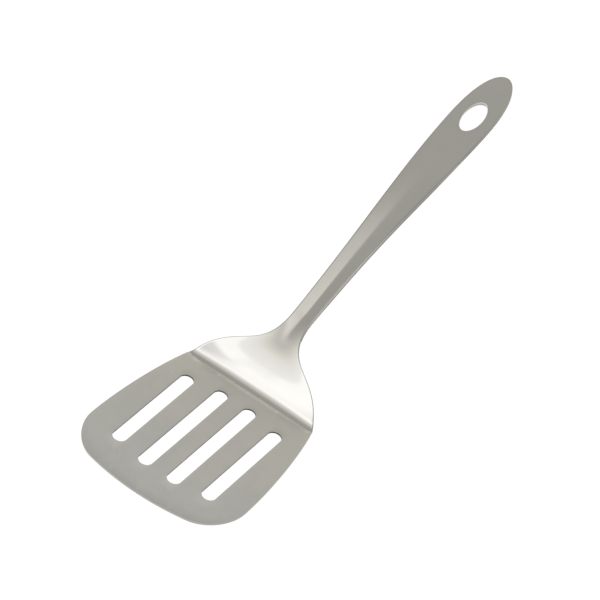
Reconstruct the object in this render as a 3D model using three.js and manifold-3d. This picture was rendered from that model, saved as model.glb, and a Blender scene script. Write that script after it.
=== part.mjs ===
// Slotted turner: a flat slotted blade welded to a hollow two-shell steel handle with a hanging eye.
// Millimetres, +Z up. X runs from the blade's front to the handle's tip, Y across the tool.
// It lies as it rests on a table: on the heel under the crease and on the handle's tip.
import * as THREE from "three";
import { mergeVertices } from "three/addons/utils/BufferGeometryUtils.js";
import Module from "manifold-3d";

const wasm = await Module();
wasm.setup();

// Clearances between pieces
const CLEARANCE = 0.3;
const WELD_CLEARANCE = 0.2;

// Blade: lengths run forward from the crease, along the blade
const BLADE_LENGTH = 104.8;
const BLADE_WIDTH = 96.6;
const BLADE_WIDEST_FROM_FRONT = 30;
const BLADE_THICKNESS = 1.0;
const BLADE_TILT = THREE.MathUtils.degToRad(24.23);
const HEEL_WIDTH = 79.8;
const SIDE_HEEL_PULL = 15.5;
const SIDE_HEEL_BULGE = 4.1;
const SIDE_FRONT_PULL = 27.9;
const FRONT_RADIUS = 130;
const CORNER_INSET = 18.3;
const CORNER_FRONT_PULL = 9;
const CORNER_SIDE_PULL = 13;

// Slots in the blade: an inner and an outer pair, each placed by its distance from the middle line
const SLOT_WIDTH = 7.8;
const INNER_SLOT_AT = 8.95;
const INNER_SLOT_FROM_HEEL = 10.4;
const INNER_SLOT_FROM_FRONT = 18.6;
const OUTER_SLOT_AT = 28;
const OUTER_SLOT_FROM_HEEL = 14.3;
const OUTER_SLOT_FROM_FRONT = 22.5;

// Lap flange of the handle's top shell, hidden under the blade, and its plug welds
const LAP_LENGTH = 9;
const LAP_INSET = 1.6;
const LAP_TAPER = 5;
const JOGGLE_RUN = 0.1;
const PLUG_WELD_COUNT = 4;
const PLUG_WELD_FROM_EDGE = 9.65;
const PLUG_WELD_DIAMETER = 4.4;
const PLUG_WELD_CROWN = 0.3;

// Handle outline: lengths run back from the crease, along X
const HANDLE_LENGTH = 237.2;
const HANDLE_WIDTH = 23.7;
const HANDLE_WIDEST_FROM_TIP = 38.3;
const NECK_AT = 46.9;
const NECK_WIDTH = 11.8;
const SHOULDER_FLARE_RUN = 27.4;
const SHOULDER_FLARE_DROP = 13.1;
const SHOULDER_NECK_PULL = 30.2;
const HANDLE_NECK_PULL = 64;
const HANDLE_WIDE_PULL = 44;
const TIP_CORNER_RUN = 6;
const TIP_END_PULL = 4;

// Handle side profile: heights of the top edge above the crease
const NECK_RISE = 11.94;
const NECK_SLOPE = 0.0356;
const BEND_START_SLOPE = 0.3;
const BEND_RUN = 5.6;
const BEND_SLOPE = 0.58;
const BEND_SLOPE_EDGE = 0.75;
const BEND_EDGE_POWER = 3;
const SHOULDER_PULL = 5.5;
const SHOULDER_EASE = 17.5;
const ARCH_PULL = 95;
const TIP_PULL = 62;
const TIP_SLOPE = 0.0844;

// Trough pressed into the top face, sharp at the neck and fading towards the tip
const TROUGH_DEPTH = 2.3;
const TROUGH_FROM = 21;
const TROUGH_FULL_AT = 51;
const TROUGH_FADE_FROM = 93;
const TROUGH_FADE_TO = 188;
const TROUGH_ROUND_SHOULDER = 0.35;
const TROUGH_ROUND_NECK = 0.12;

// Shells of the hollow handle
const SHELL_THICKNESS = 1.2;
const BACK_THICKNESS = 0.9;
const EDGE_ROUND = 0.6;
const EDGE_TURN = 0.15;
const LIP_DROP = 1.05;
const BACK_DEPTH = 4.2;
const BACK_SQUARENESS = 2.6;
const BACK_FROM = 36;
const HOLLOW_FULL_FROM = 73;
const HOLLOW_FULL_FROM_TIP = 99.3;
const HOLLOW_END_FROM_TIP = 48.3;
const SEAM_BEAD = 0.4;
const SEAM_WELD_DEPTH = 0.9;
const NECK_WELD_LEG = 1.4;
const NECK_WELD_SHARE = 0.85;

// Hanging eye near the tip: its size at the top face, and how far each side opens out towards the back
const EYE_FROM_TIP = 33.3;
const EYE_LENGTH = 21.8;
const EYE_WIDTH = 10.85;
const EYE_FLARE = 0.6;
const EYELET_WALL = 1.1;
const EYELET_PROUD = 0.1;

// Facet counts, and the distance within which two points are one
const CURVE_STEPS = 12;
const GRIP_STEPS = 24;
const TIP_FINE_STEPS = 36;
const SLOT_END_STEPS = 6;
const FACE_STEPS = 12;
const BACK_STEPS = 14;
const ROUND_STEPS = 24;
const EYE_STEPS = 40;
const SOLVE_STEPS = 40;
const SAME_POINT = 1e-4;

const satinSteel = { color: 0xa8a69e, roughness: 0.42, metalness: 1 };
const polishedSteel = { color: 0xc4c2ba, roughness: 0.18, metalness: 1 };
const weldSteel = { color: 0x9a978e, roughness: 0.5, metalness: 1 };

// Places worked out from the blade's front and the handle's tip
const bladeWidestAt = BLADE_LENGTH - BLADE_WIDEST_FROM_FRONT;
const handleWidestAt = HANDLE_LENGTH - HANDLE_WIDEST_FROM_TIP;
const hollowFullTo = HANDLE_LENGTH - HOLLOW_FULL_FROM_TIP;
const hollowEnd = HANDLE_LENGTH - HOLLOW_END_FROM_TIP;
const eyeAt = HANDLE_LENGTH - EYE_FROM_TIP;
const seamGap = SEAM_BEAD + 2 * WELD_CLEARANCE;
const lapHalf = HEEL_WIDTH / 2 - LAP_INSET;

// Smooth step from 0 at a to 1 at b
function ease(a, b, x) {
  const t = THREE.MathUtils.clamp((x - a) / (b - a), 0, 1);
  return t * t * (3 - 2 * t);
}

// Height of a cubic Bezier curve above a given x, found by halving its parameter
function curveHeight(curve, x) {
  let low = 0;
  let high = 1;
  for (let i = 0; i < SOLVE_STEPS; i += 1) {
    const middle = (low + high) / 2;
    if (curve.getPoint(middle).x < x) {
      low = middle;
    } else {
      high = middle;
    }
  }
  return curve.getPoint((low + high) / 2).y;
}

function bezier(...points) {
  return new THREE.CubicBezierCurve(...points.map(([x, y]) => new THREE.Vector2(x, y)));
}

// Outline of the handle seen from above, as half-widths
const shoulderOutline = bezier(
  [0, HEEL_WIDTH / 2],
  [SHOULDER_FLARE_RUN, HEEL_WIDTH / 2 - SHOULDER_FLARE_DROP],
  [NECK_AT - SHOULDER_NECK_PULL, NECK_WIDTH / 2],
  [NECK_AT, NECK_WIDTH / 2],
);
const gripOutline = bezier(
  [NECK_AT, NECK_WIDTH / 2],
  [NECK_AT + HANDLE_NECK_PULL, NECK_WIDTH / 2],
  [handleWidestAt - HANDLE_WIDE_PULL, HANDLE_WIDTH / 2],
  [handleWidestAt, HANDLE_WIDTH / 2],
);
const tipOutline = bezier(
  [handleWidestAt, HANDLE_WIDTH / 2],
  [HANDLE_LENGTH - TIP_CORNER_RUN, HANDLE_WIDTH / 2],
  [HANDLE_LENGTH, TIP_END_PULL],
  [HANDLE_LENGTH, 0],
);

function halfWidth(x) {
  if (x < NECK_AT) {
    return curveHeight(shoulderOutline, x);
  }
  return curveHeight(x < handleWidestAt ? gripOutline : tipOutline, x);
}

function bladePlane(x) {
  return -x * Math.tan(BLADE_TILT);
}

// Height of the lap flange's top face, under the blade
function flangeHeight(x) {
  return bladePlane(x) - (BLADE_THICKNESS + CLEARANCE) / Math.cos(BLADE_TILT);
}

// Sheets stacked at the heel and at the tip, which stand on one table
const heelStack = SHELL_THICKNESS + EDGE_TURN - flangeHeight(CLEARANCE);
const tipStack = SHELL_THICKNESS + EDGE_TURN + seamGap + BACK_THICKNESS;
const tipLevel = tipStack - heelStack;

// Height of the shoulder above the crease: the sheet falls from it, turns up and then climbs to the neck
function bentProfile(slope) {
  const turn = slope + BEND_START_SLOPE;
  const bentHeight = (x) => (turn * x * x) / (2 * BEND_RUN) - BEND_START_SLOPE * x;
  const bendTop = bentHeight(BEND_RUN);
  const climb = bezier(
    [BEND_RUN, bendTop],
    [BEND_RUN + SHOULDER_PULL, bendTop + SHOULDER_PULL * slope],
    [NECK_AT - SHOULDER_EASE, NECK_RISE - SHOULDER_EASE * NECK_SLOPE],
    [NECK_AT, NECK_RISE],
  );
  return (x) => (x < BEND_RUN ? bentHeight(x) : curveHeight(climb, x));
}

const middleProfile = bentProfile(BEND_SLOPE);
const edgeProfile = bentProfile(BEND_SLOPE_EDGE);

// Height of the handle's top edge above the crease, from the neck to the tip
const archProfile = bezier(
  [NECK_AT, NECK_RISE],
  [NECK_AT + ARCH_PULL, NECK_RISE + ARCH_PULL * NECK_SLOPE],
  [HANDLE_LENGTH - TIP_PULL, tipLevel + TIP_PULL * TIP_SLOPE],
  [HANDLE_LENGTH, tipLevel],
);

// Height of the face before the trough is pressed in: the bend is steeper at the edges
function blankHeight(x, share) {
  if (x >= NECK_AT) {
    return curveHeight(archProfile, x);
  }
  return THREE.MathUtils.lerp(middleProfile(x), edgeProfile(x), share ** BEND_EDGE_POWER);
}

// Drop of the top face below its edges at a share of the half-width
function troughDrop(x, share) {
  const grown = ease(TROUGH_FROM, TROUGH_FULL_AT, x);
  const depth = TROUGH_DEPTH * grown * (1 - ease(TROUGH_FADE_FROM, TROUGH_FADE_TO, x));
  const round = THREE.MathUtils.lerp(TROUGH_ROUND_SHOULDER, TROUGH_ROUND_NECK, grown);
  const climb = Math.hypot(share, round) - round;
  return depth * (1 - climb / (Math.hypot(1, round) - round));
}

// Height of the handle's top face at a share of the half-width
function faceHeight(x, share) {
  return blankHeight(x, share) - troughDrop(x, share);
}

function edgeHeight(x) {
  return faceHeight(x, 1);
}

// Fullness of the hollow: none at the neck tongue and the pressed flat tip
function fullness(x) {
  return ease(BACK_FROM, HOLLOW_FULL_FROM, x) * (1 - ease(hollowFullTo, hollowEnd, x));
}

function lipDepth(x) {
  return SHELL_THICKNESS + EDGE_TURN + LIP_DROP * fullness(x);
}

// Rows of points across the shell, from one edge to the other
function acrossShares(steps) {
  return Array.from({ length: steps + 1 }, (_, i) => (2 * i) / steps - 1);
}

// Closed section of a pressed sheet: rounded outer edges, turned-down lips and an even wall
function shellSection(x, half, lip, face) {
  const edge = face(1);
  const round = Math.min(EDGE_ROUND, half / 2);
  const wall = Math.min(SHELL_THICKNESS, half / 2);
  const flat = half - round;
  const inner = half - wall;
  const chamfer = round * (1 - Math.SQRT1_2);
  const topAt = (y) => face(Math.abs(y) / half);
  const across = acrossShares(FACE_STEPS);
  const top = across.map((share) => [share * flat, topAt(share * flat)]);
  const under = across.map((share) => [-share * inner, topAt(share * inner) - SHELL_THICKNESS]);
  const ring = [
    [-half, edge - lip],
    [-half, edge - round],
    [chamfer - half, edge - chamfer],
    ...top,
    [half - chamfer, edge - chamfer],
    [half, edge - round],
    [half, edge - lip],
    [inner, edge - lip],
    ...under,
    [-inner, edge - lip],
  ];
  return ring.map(([y, z]) => new THREE.Vector3(x, y, z));
}

function flangeSection(x, half) {
  return shellSection(x, half, SHELL_THICKNESS + EDGE_TURN, () => flangeHeight(x));
}

function handleSection(x) {
  return shellSection(x, halfWidth(x), lipDepth(x), (share) => faceHeight(x, share));
}

// Closed section of the back shell: a strip under the neck and the tip, a deep channel between
function backSection(x) {
  const half = halfWidth(x);
  const full = fullness(x);
  const rim = lipDepth(x) + seamGap;
  const wall = Math.min(BACK_THICKNESS, half / 2) * full;
  const power = 2 / BACK_SQUARENESS;
  const outer = [];
  const inner = [];
  for (let i = 0; i <= BACK_STEPS; i += 1) {
    const angle = (Math.PI * i) / BACK_STEPS;
    const side = Math.sign(Math.cos(angle)) * Math.abs(Math.cos(angle)) ** power;
    const deep = Math.sin(angle) ** power;
    const strip = rim + edgeHeight(x) - faceHeight(x, Math.abs(side));
    const outerDrop = THREE.MathUtils.lerp(strip + BACK_THICKNESS, rim + BACK_DEPTH * deep, full);
    const innerDrop = THREE.MathUtils.lerp(strip, rim + (BACK_DEPTH - BACK_THICKNESS) * deep, full);
    outer.push(new THREE.Vector3(x, half * side, edgeHeight(x) - outerDrop));
    inner.push(new THREE.Vector3(x, (half - wall) * side, edgeHeight(x) - innerDrop));
  }
  return [...outer, ...inner.reverse()];
}

// Closed mesh through rings of points, with flat ends
function loft(rings) {
  const count = rings[0].length;
  const positions = rings.flat().flatMap((point) => point.toArray());
  const faces = [];
  for (let i = 0; i + 1 < rings.length; i += 1) {
    for (let j = 0; j < count; j += 1) {
      const next = (j + 1) % count;
      const a = i * count + j;
      const b = a + count;
      const c = (i + 1) * count + next;
      const d = i * count + next;
      faces.push(a, b, c, a, c, d);
    }
  }
  const last = rings.length - 1;
  faces.push(...endFaces(rings[0], 0, true));
  faces.push(...endFaces(rings[last], last * count, false));
  const geometry = new THREE.BufferGeometry();
  geometry.setAttribute("position", new THREE.Float32BufferAttribute(positions, 3));
  geometry.setIndex(faces);
  return geometry;
}

// Triangles that close one end of a loft, laid out in the plane that the ring lies in
function endFaces(ring, offset, first) {
  const normal = new THREE.Vector3();
  ring.forEach((point, i) => {
    normal.add(point.clone().cross(ring[(i + 1) % ring.length]));
  });
  normal.normalize();
  const side = ring[1].clone().sub(ring[0]).projectOnPlane(normal).normalize();
  const rise = normal.clone().cross(side);
  const flat = ring.map((point) => new THREE.Vector2(point.dot(side), point.dot(rise)));
  const faces = [];
  for (const [a, b, c] of THREE.ShapeUtils.triangulateShape(flat, [])) {
    const turn = flat[b].clone().sub(flat[a]).cross(flat[c].clone().sub(flat[a]));
    const facing = turn > 0 ? [a, b, c] : [a, c, b];
    faces.push(...(first ? facing : facing.reverse()).map((i) => i + offset));
  }
  return faces;
}

function toSolid(geometry) {
  const bare = geometry.clone();
  bare.deleteAttribute("normal");
  bare.deleteAttribute("uv");
  const merged = mergeVertices(bare, SAME_POINT);
  const vertProperties = new Float32Array(merged.attributes.position.array);
  const triVerts = new Uint32Array(merged.index.array);
  return new wasm.Manifold(new wasm.Mesh({ numProp: 3, vertProperties, triVerts }));
}

function toGeometry(solid) {
  const mesh = solid.getMesh();
  const geometry = new THREE.BufferGeometry();
  geometry.setAttribute("position", new THREE.BufferAttribute(mesh.vertProperties, 3));
  geometry.setIndex(new THREE.BufferAttribute(mesh.triVerts, 1));
  geometry.computeVertexNormals();
  return geometry;
}

function cut(geometry, cutters) {
  const solid = cutters.reduce((left, cutter) => left.subtract(toSolid(cutter)), toSolid(geometry));
  return toGeometry(solid);
}

function piece(name, geometry, finish) {
  const mesh = new THREE.Mesh(geometry, new THREE.MeshStandardMaterial(finish));
  mesh.name = name;
  return mesh;
}

// Frame of the blade: its X points back along the blade, its Z is square to the top face
const bladeFrame = new THREE.Matrix4().makeRotationY(BLADE_TILT);

// Slot with round ends, at a distance across the blade and clear of its heel and front
function slotPath(across, fromHeel, fromFront) {
  const radius = SLOT_WIDTH / 2;
  const heelEnd = -fromHeel - radius;
  const frontEnd = fromFront + radius - BLADE_LENGTH;
  const path = new THREE.Path();
  path.absarc(heelEnd, across, radius, -Math.PI / 2, Math.PI / 2, false);
  path.absarc(frontEnd, across, radius, Math.PI / 2, (3 * Math.PI) / 2, false);
  return new THREE.Path(path.getPoints(SLOT_END_STEPS));
}

function bladeOutline() {
  const heel = HEEL_WIDTH / 2;
  const wide = BLADE_WIDTH / 2;
  const cornerFrom = wide - CORNER_INSET;
  const frontAngle = Math.asin(cornerFrom / FRONT_RADIUS);
  const frontSlope = Math.tan(frontAngle);
  const frontCentre = FRONT_RADIUS - BLADE_LENGTH;
  const corner = FRONT_RADIUS * Math.cos(frontAngle) - frontCentre;
  const shape = new THREE.Shape();
  shape.moveTo(0, heel);
  shape.bezierCurveTo(
    -SIDE_HEEL_PULL, heel + SIDE_HEEL_BULGE,
    SIDE_FRONT_PULL - bladeWidestAt, wide,
    -bladeWidestAt, wide,
  );
  shape.bezierCurveTo(
    -bladeWidestAt - CORNER_SIDE_PULL, wide,
    CORNER_FRONT_PULL * frontSlope - corner, cornerFrom + CORNER_FRONT_PULL,
    -corner, cornerFrom,
  );
  shape.absarc(frontCentre, 0, FRONT_RADIUS, Math.PI - frontAngle, Math.PI + frontAngle, false);
  shape.bezierCurveTo(
    CORNER_FRONT_PULL * frontSlope - corner, -cornerFrom - CORNER_FRONT_PULL,
    -bladeWidestAt - CORNER_SIDE_PULL, -wide,
    -bladeWidestAt, -wide,
  );
  shape.bezierCurveTo(
    SIDE_FRONT_PULL - bladeWidestAt, -wide,
    -SIDE_HEEL_PULL, -heel - SIDE_HEEL_BULGE,
    0, -heel,
  );
  return shape;
}

function blade() {
  const shape = bladeOutline();
  for (const side of [-1, 1]) {
    shape.holes.push(slotPath(side * INNER_SLOT_AT, INNER_SLOT_FROM_HEEL, INNER_SLOT_FROM_FRONT));
    shape.holes.push(slotPath(side * OUTER_SLOT_AT, OUTER_SLOT_FROM_HEEL, OUTER_SLOT_FROM_FRONT));
  }
  const plate = new THREE.ExtrudeGeometry(shape, {
    depth: BLADE_THICKNESS,
    bevelEnabled: false,
    curveSegments: CURVE_STEPS,
  });
  plate.translate(0, 0, -BLADE_THICKNESS);
  return piece("blade", plate.applyMatrix4(bladeFrame), satinSteel);
}

// Places of the plug welds: an even row on the middle line of the lap flange
function plugWeldPlaces() {
  const end = lapHalf - PLUG_WELD_FROM_EDGE;
  return Array.from({ length: PLUG_WELD_COUNT }, (_, i) => {
    const across = ((2 * i) / (PLUG_WELD_COUNT - 1) - 1) * end;
    return new THREE.Vector3(-LAP_LENGTH / 2, across, -BLADE_THICKNESS);
  });
}

// Upright round bar hung from a point under the blade, in the blade's frame
function barUnderBlade(place, radius, top, bottom) {
  const bar = new THREE.CylinderGeometry(radius, radius, top - bottom, ROUND_STEPS);
  bar.rotateX(Math.PI / 2);
  bar.translate(place.x, place.y, place.z + (top + bottom) / 2);
  return bar.applyMatrix4(bladeFrame);
}

// Low crowned weld that fills its hole in the flange and bonds to the blade's underside
function plugWeld(place, index) {
  const radius = PLUG_WELD_DIAMETER / 2;
  const length = CLEARANCE + SHELL_THICKNESS - WELD_CLEARANCE;
  const crown = Array.from({ length: CURVE_STEPS / 2 }, (_, i) => {
    const angle = (Math.PI * i) / CURVE_STEPS;
    return new THREE.Vector2(radius * Math.sin(angle), -length - PLUG_WELD_CROWN * Math.cos(angle));
  });
  const rim = new THREE.Vector2(radius, -length);
  const bond = new THREE.Vector2(radius, 0);
  const button = new THREE.LatheGeometry([...crown, rim, bond, new THREE.Vector2()], ROUND_STEPS);
  button.rotateX(Math.PI / 2);
  button.translate(place.x, place.y, place.z - WELD_CLEARANCE);
  return piece(`plug_weld_${index + 1}`, toGeometry(toSolid(button.applyMatrix4(bladeFrame))), weldSteel);
}

// Stations along the handle: close together on the bend, the shoulder and the tip
function handleStations() {
  const start = CLEARANCE + JOGGLE_RUN;
  const bend = Array.from(
    { length: CURVE_STEPS },
    (_, i) => start + ((BEND_RUN - start) * i) / CURVE_STEPS,
  );
  const shoulder = Array.from(
    { length: CURVE_STEPS },
    (_, i) => BEND_RUN + ((BACK_FROM - BEND_RUN) * i) / CURVE_STEPS,
  );
  return [...bend, ...shoulder, ...backStations()];
}

function backStations() {
  const grip = Array.from(
    { length: GRIP_STEPS },
    (_, i) => BACK_FROM + ((handleWidestAt - BACK_FROM) * i) / GRIP_STEPS,
  );
  const tip = Array.from({ length: CURVE_STEPS }, (_, i) => tipOutline.getPoint(i / CURVE_STEPS).x);
  return [...grip, ...tip, tipOutline.getPoint(1 - 1 / TIP_FINE_STEPS).x];
}

// Frame of the eye: square to the handle's top face at its middle
const eyeSlope = (edgeHeight(eyeAt - EYE_WIDTH) - edgeHeight(eyeAt + EYE_WIDTH)) / (2 * EYE_WIDTH);
const eyeTurn = new THREE.Matrix4().makeRotationY(Math.atan(eyeSlope));
const eyeFrame = new THREE.Matrix4().makeTranslation(eyeAt, 0, edgeHeight(eyeAt)).multiply(eyeTurn);

function ovalPath(length, width) {
  return new THREE.EllipseCurve(0, 0, length / 2, width / 2).getPoints(EYE_STEPS).slice(0, EYE_STEPS);
}

// Depth of the two pressed sheets at the eye
const eyeDepth = lipDepth(eyeAt) + seamGap + BACK_THICKNESS;

function eyeCutter() {
  const margin = 2 * (EYELET_WALL + CLEARANCE);
  const reach = EYE_WIDTH;
  const oval = new THREE.Shape(ovalPath(EYE_LENGTH + margin, EYE_WIDTH + margin));
  const bar = new THREE.ExtrudeGeometry(oval, {
    depth: eyeDepth + 2 * reach,
    bevelEnabled: false,
  });
  bar.translate(0, 0, -eyeDepth - reach);
  return bar.applyMatrix4(eyeFrame);
}

// Ring of the eye's bore at a depth below the top face
function boreRing(depth) {
  const opening = (2 * EYE_FLARE * depth) / eyeDepth;
  const oval = ovalPath(EYE_LENGTH + opening, EYE_WIDTH + opening);
  return oval.map((point) => new THREE.Vector3(point.x, point.y, -depth));
}

// Oval sleeve through both shells, with a bore that opens out towards the back
function hangingEyelet() {
  const oval = new THREE.Shape(ovalPath(EYE_LENGTH + 2 * EYELET_WALL, EYE_WIDTH + 2 * EYELET_WALL));
  const sleeve = new THREE.ExtrudeGeometry(oval, {
    depth: eyeDepth + 2 * EYELET_PROUD,
    bevelEnabled: false,
  });
  sleeve.translate(0, 0, -eyeDepth - EYELET_PROUD);
  const reach = 2 * EYELET_PROUD;
  const bore = loft([boreRing(-reach), boreRing(eyeDepth + reach)]);
  return piece("hanging_eyelet", cut(sleeve, [bore]).applyMatrix4(eyeFrame), polishedSteel);
}

function handleTopShell() {
  const lapRun = LAP_LENGTH * Math.cos(BLADE_TILT);
  const rings = [
    flangeSection(-lapRun, lapHalf - LAP_TAPER),
    flangeSection(-lapRun / 2, lapHalf - LAP_TAPER / 4),
    flangeSection(CLEARANCE, lapHalf),
    ...handleStations().map(handleSection),
  ];
  const holes = plugWeldPlaces().map((place) => {
    const reach = BLADE_THICKNESS + CLEARANCE + SHELL_THICKNESS;
    return barUnderBlade(place, PLUG_WELD_DIAMETER / 2 + CLEARANCE, reach, -2 * reach);
  });
  return piece("handle_top_shell", cut(loft(rings), [...holes, eyeCutter()]), polishedSteel);
}

function handleBackShell() {
  const shell = loft(backStations().map(backSection));
  return piece("handle_back_shell", cut(shell, [eyeCutter()]), satinSteel);
}

// Weld bead that runs in the seam between the shells, down one side, round the tip and back
function seamWeld() {
  const stations = backStations().slice(1);
  const leftSide = stations.map((x) => new THREE.Vector3(x, halfWidth(x), 0));
  const rightSide = stations.map((x) => new THREE.Vector3(x, -halfWidth(x), 0)).reverse();
  const path = [...leftSide, ...rightSide];
  const rings = path.map((point, i) => {
    const before = path[Math.max(i - 1, 0)];
    const after = path[Math.min(i + 1, path.length - 1)];
    const inward = new THREE.Vector3(after.y - before.y, before.x - after.x, 0).normalize();
    const inside = point.clone().addScaledVector(inward, SEAM_WELD_DEPTH);
    const top = edgeHeight(point.x) - lipDepth(point.x) - WELD_CLEARANCE;
    const bottom = top - SEAM_BEAD;
    return [
      new THREE.Vector3(point.x, point.y, top),
      new THREE.Vector3(point.x, point.y, bottom),
      new THREE.Vector3(inside.x, inside.y, bottom),
      new THREE.Vector3(inside.x, inside.y, top),
    ];
  });
  return piece("seam_weld", toGeometry(toSolid(loft(rings))), weldSteel);
}

// Fillet weld across the front edge of the back shell, under the neck
function neckWeld() {
  const back = BACK_FROM - WELD_CLEARANCE;
  const front = back - NECK_WELD_LEG;
  const underAt = (x, y) => faceHeight(x, Math.abs(y) / halfWidth(x)) - SHELL_THICKNESS;
  const rings = acrossShares(FACE_STEPS).map((share) => {
    const y = share * halfWidth(BACK_FROM) * NECK_WELD_SHARE;
    const low = underAt(back, y) + SHELL_THICKNESS - lipDepth(back) - seamGap - BACK_THICKNESS;
    return [
      new THREE.Vector3(back, y, low),
      new THREE.Vector3(back, y, underAt(back, y) - WELD_CLEARANCE),
      new THREE.Vector3(front, y, underAt(front, y) - WELD_CLEARANCE),
    ];
  });
  return piece("neck_weld", toGeometry(toSolid(loft(rings))), weldSteel);
}

const turner = new THREE.Group();
turner.add(
  blade(),
  handleTopShell(),
  handleBackShell(),
  hangingEyelet(),
  seamWeld(),
  neckWeld(),
  ...plugWeldPlaces().map(plugWeld),
);

// Origin at the middle of the tool's footprint, on the table
const box = new THREE.Box3().setFromObject(turner, true);
turner.position.set(-(box.min.x + box.max.x) / 2, 0, -box.min.z);

export default turner;
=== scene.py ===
"""Dressed model of an all-steel slotted turner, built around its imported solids.

Every shape is worked out in millimetres from the crease, the line where the blade meets the handle,
with X towards the handle's tip, Y across the tool and Z up, and is put into the frame in metres.
"""

import logging
import math
from collections.abc import Callable
from dataclasses import dataclass, field
from enum import Enum
from itertools import pairwise

import bmesh
import bpy
import numpy as np
from mathutils import Matrix, Vector


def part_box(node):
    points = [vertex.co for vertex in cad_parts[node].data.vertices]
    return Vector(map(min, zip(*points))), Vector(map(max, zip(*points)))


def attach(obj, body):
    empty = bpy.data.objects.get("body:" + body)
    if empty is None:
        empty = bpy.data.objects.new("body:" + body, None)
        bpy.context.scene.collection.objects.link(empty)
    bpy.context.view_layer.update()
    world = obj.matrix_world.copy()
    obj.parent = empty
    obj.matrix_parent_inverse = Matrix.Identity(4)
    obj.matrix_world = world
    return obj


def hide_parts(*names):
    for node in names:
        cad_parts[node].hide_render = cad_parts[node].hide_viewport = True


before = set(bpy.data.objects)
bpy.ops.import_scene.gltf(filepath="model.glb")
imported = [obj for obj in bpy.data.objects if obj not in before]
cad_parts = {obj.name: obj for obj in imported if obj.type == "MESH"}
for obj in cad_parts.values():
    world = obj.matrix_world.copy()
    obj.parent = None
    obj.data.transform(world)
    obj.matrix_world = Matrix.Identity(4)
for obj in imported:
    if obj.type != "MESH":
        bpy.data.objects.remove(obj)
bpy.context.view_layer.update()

log = logging.getLogger("slotted_turner")

MM = 0.001
SAME_POINT = 2e-6
SHARP_ANGLE = math.radians(38)
QUARTER_TURN = math.pi / 2
FULL_TURN = 2.0 * math.pi
SOLVE_STEPS = 44
TIP_STEPS = 44
NOISE_MIDDLE = 0.5
SENSOR_WIDTH = 36.0

Pair = tuple[float, float]
Triple = tuple[float, float, float]
Colour = Triple
Curve = tuple[Pair, ...]
Stops = tuple[tuple[float, float | Colour], ...]
Numbers = np.ndarray | float
FaceHeights = Callable[[np.ndarray], np.ndarray]
Output = bpy.types.NodeSocket
Piece = bpy.types.Object


def ease(start: float, end: float, x: np.ndarray) -> np.ndarray:
    """Smooth step: 3t² - 2t³, where t runs from 0 at start to 1 at end."""
    t = np.clip((x - start) / (end - start), 0.0, 1.0)
    return t * t * (3.0 - 2.0 * t)


def bezier(curve: Curve, t: np.ndarray) -> np.ndarray:
    """Points of a cubic Bezier curve.

    Args:
        curve: its four control points.
        t: parameters from 0 to 1.

    Returns:
        Points, shaped as t with one more axis of two.
    """
    a, b, c, d = np.asarray(curve, float)
    t = np.asarray(t, float)[..., None]
    s = 1.0 - t
    return s**3 * a + 3 * s**2 * t * b + 3 * s * t**2 * c + t**3 * d


def pulled(start: Pair, leave: Pair, arrive: Pair, end: Pair) -> Curve:
    """Control points of a Bezier curve: its two ends, and how far it is pulled on at each of them."""
    return start, (start[0] + leave[0], start[1] + leave[1]), (end[0] - arrive[0], end[1] - arrive[1]), end


def height_over(curve: Curve, x: np.ndarray) -> np.ndarray:
    """Height of a Bezier curve above given places, its parameter found by halving.

    Args:
        curve: four control points whose first coordinate grows along the curve.
        x: places along the first coordinate.

    Returns:
        The second coordinate, shaped as x.
    """
    x = np.asarray(x, float)
    low = np.zeros_like(x)
    high = np.ones_like(x)
    for _ in range(SOLVE_STEPS):
        middle = (low + high) / 2
        before = bezier(curve, middle)[..., 0] < x
        low = np.where(before, middle, low)
        high = np.where(before, high, middle)
    return bezier(curve, (low + high) / 2)[..., 1]


def inward_normals(path: np.ndarray, closed: bool) -> np.ndarray:
    """Directions square to a plane path, on its left, stretched at corners so that offsets are mitred.

    The sum of the normals of the two neighbouring edges, divided by one plus their dot product.

    Args:
        path: points of the path, one per row.
        closed: whether the last point joins the first.

    Returns:
        One direction per point.
    """
    if closed:
        after = np.roll(path, -1, axis=0) - path
        before = np.roll(after, 1, axis=0)
    else:
        edges = np.diff(path, axis=0)
        after = np.concatenate([edges, edges[-1:]])
        before = np.concatenate([edges[:1], edges])
    left_after, left_before = (
        np.stack([-edge[:, 1], edge[:, 0]], axis=1) / np.linalg.norm(edge, axis=1, keepdims=True)
        for edge in (after, before)
    )
    return (left_after + left_before) / (1.0 + (left_after * left_before).sum(axis=1, keepdims=True))


def oval(centre: Pair, reach: tuple[Numbers, Numbers], angle: np.ndarray) -> np.ndarray:
    """Points of an oval: the centre plus the reaches times the angle's cosine and sine."""
    return np.stack([centre[0] + reach[0] * np.cos(angle), centre[1] + reach[1] * np.sin(angle)], axis=-1)


def quarter_round(radius: float, points: int) -> np.ndarray:
    """Quarter circle from a face to a side: distances in from the side and drops below the face."""
    turn = np.linspace(0.0, QUARTER_TURN, points)
    return radius * np.stack([1.0 - np.sin(turn), 1.0 - np.cos(turn)], axis=1)


def ring_patch(inner: np.ndarray, outer: np.ndarray, rows: int) -> np.ndarray:
    """Sheet between two matching loops: straight lines from each inner point to its outer one."""
    t = np.linspace(0.0, 1.0, rows + 1)[:, None, None]
    return inner * (1.0 - t) + outer * t


def with_height(plane: np.ndarray, height: np.ndarray) -> np.ndarray:
    """Adds a height to points of a plane."""
    return np.concatenate([plane, np.broadcast_to(height, plane.shape[:-1])[..., None]], axis=-1)


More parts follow.
